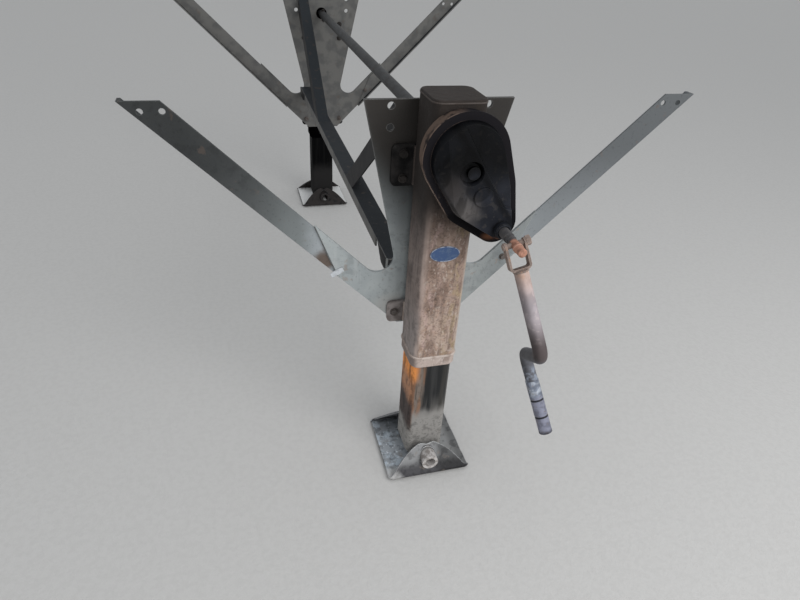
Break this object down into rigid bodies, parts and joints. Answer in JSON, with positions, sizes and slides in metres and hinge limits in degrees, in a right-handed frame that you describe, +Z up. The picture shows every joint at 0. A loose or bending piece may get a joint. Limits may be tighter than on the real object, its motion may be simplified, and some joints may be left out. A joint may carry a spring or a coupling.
{
  "type": "semi trailer landing gear",
  "caption": "Telescoping support legs of a semi trailer with side gearbox, folding crank, wing plates, arms, cross tie, cross shaft and pivoting sand shoes.",
  "frame": {"origin": "middle of the near wing plate's four upper bolt holes, on the plate's inboard face", "axes": "+X along the trailer, towards its rear; +Y inboard, from the crank side to the far leg; +Z up"},
  "size_m": [1.396, 2.4012, 1.091],
  "materials": {
    "leg_rust": "rusted",
    "wing_paint": "matt",
    "inner_steel": "greasy",
    "shoe_steel": "worn",
    "gear_black": "satin",
    "crank_rust": "rusted",
    "grip_steel": "worn",
    "dark_steel": "matt",
    "badge_blue": "matt"
  },
  "bodies": {
    "frame": {"near_outer_tube": "leg_rust", "near_collar": "leg_rust", "near_cap": "leg_rust", "near_upper_bracket": "leg_rust", "near_lower_bracket": "leg_rust", "near_wing_plate": "wing_paint", "near_front_arm": "wing_paint", "near_rear_arm": "wing_paint", "near_knee_strut": "wing_paint", "far_outer_tube": "leg_rust", "far_collar": "leg_rust", "far_cap": "leg_rust", "far_upper_bracket": "leg_rust", "far_lower_bracket": "leg_rust", "far_wing_plate": "wing_paint", "far_front_arm": "wing_paint", "far_rear_arm": "wing_paint", "far_knee_strut": "wing_paint", "cross_tie": "dark_steel", "gear_case": "gear_black", "gear_cover": "gear_black", "badge_plate": "badge_blue"},
    "near_inner_leg": {"near_inner_tube": "inner_steel", "near_axle_pin": "shoe_steel"},
    "far_inner_leg": {"far_inner_tube": "inner_steel", "far_axle_pin": "shoe_steel"},
    "near_foot": {"near_shoe": "shoe_steel"},
    "far_foot": {"far_shoe": "shoe_steel"},
    "crank_input": {"crank_shaft": "crank_rust"},
    "crank_handle": {"crank_yoke": "crank_rust", "crank_bolt": "crank_rust", "crank_arm": "crank_rust", "crank_grip": "grip_steel"},
    "cross_drive": {"near_cross_stub": "dark_steel", "far_cross_stub": "dark_steel", "cross_shaft": "dark_steel"}
  },
  "joints": [
    {"name": "near_leg_slide", "type": "slide", "parent": "frame", "child": "near_inner_leg", "axis": [0, 0, -1], "range_m": [-0.25, 0.18]},
    {"name": "far_leg_slide", "type": "slide", "parent": "frame", "child": "far_inner_leg", "axis": [0, 0, -1], "range_m": [-0.25, 0.18]},
    {"name": "near_shoe_pivot", "type": "hinge", "parent": "near_inner_leg", "child": "near_foot", "pos_m": [0, -0.0805, -0.97], "axis": [0, 1, 0], "range_deg": [-10, 10]},
    {"name": "far_shoe_pivot", "type": "hinge", "parent": "far_inner_leg", "child": "far_foot", "pos_m": [0, 1.8695, -0.97], "axis": [0, 1, 0], "range_deg": [-10, 10]},
    {"name": "crank_turn", "type": "hinge", "parent": "frame", "child": "crank_input", "pos_m": [0.095, -0.2305, -0.197], "axis": [0, -1, 0], "continuous": true},
    {"name": "handle_fold", "type": "hinge", "parent": "crank_input", "child": "crank_handle", "pos_m": [0.095, -0.2955, -0.197], "axis": [-0.9659, 0, -0.2588], "range_deg": [0, 68.5]},
    {"name": "cross_shaft_turn", "type": "hinge", "parent": "frame", "child": "cross_drive", "pos_m": [0, 0.9, -0.038], "axis": [0, -1, 0], "continuous": true}
  ],
  "couplings": [
    {"joint": "far_leg_slide", "follows": "near_leg_slide", "ratio": 1},
    {"joint": "cross_shaft_turn", "follows": "crank_turn", "ratio": 0.7}
  ]
}
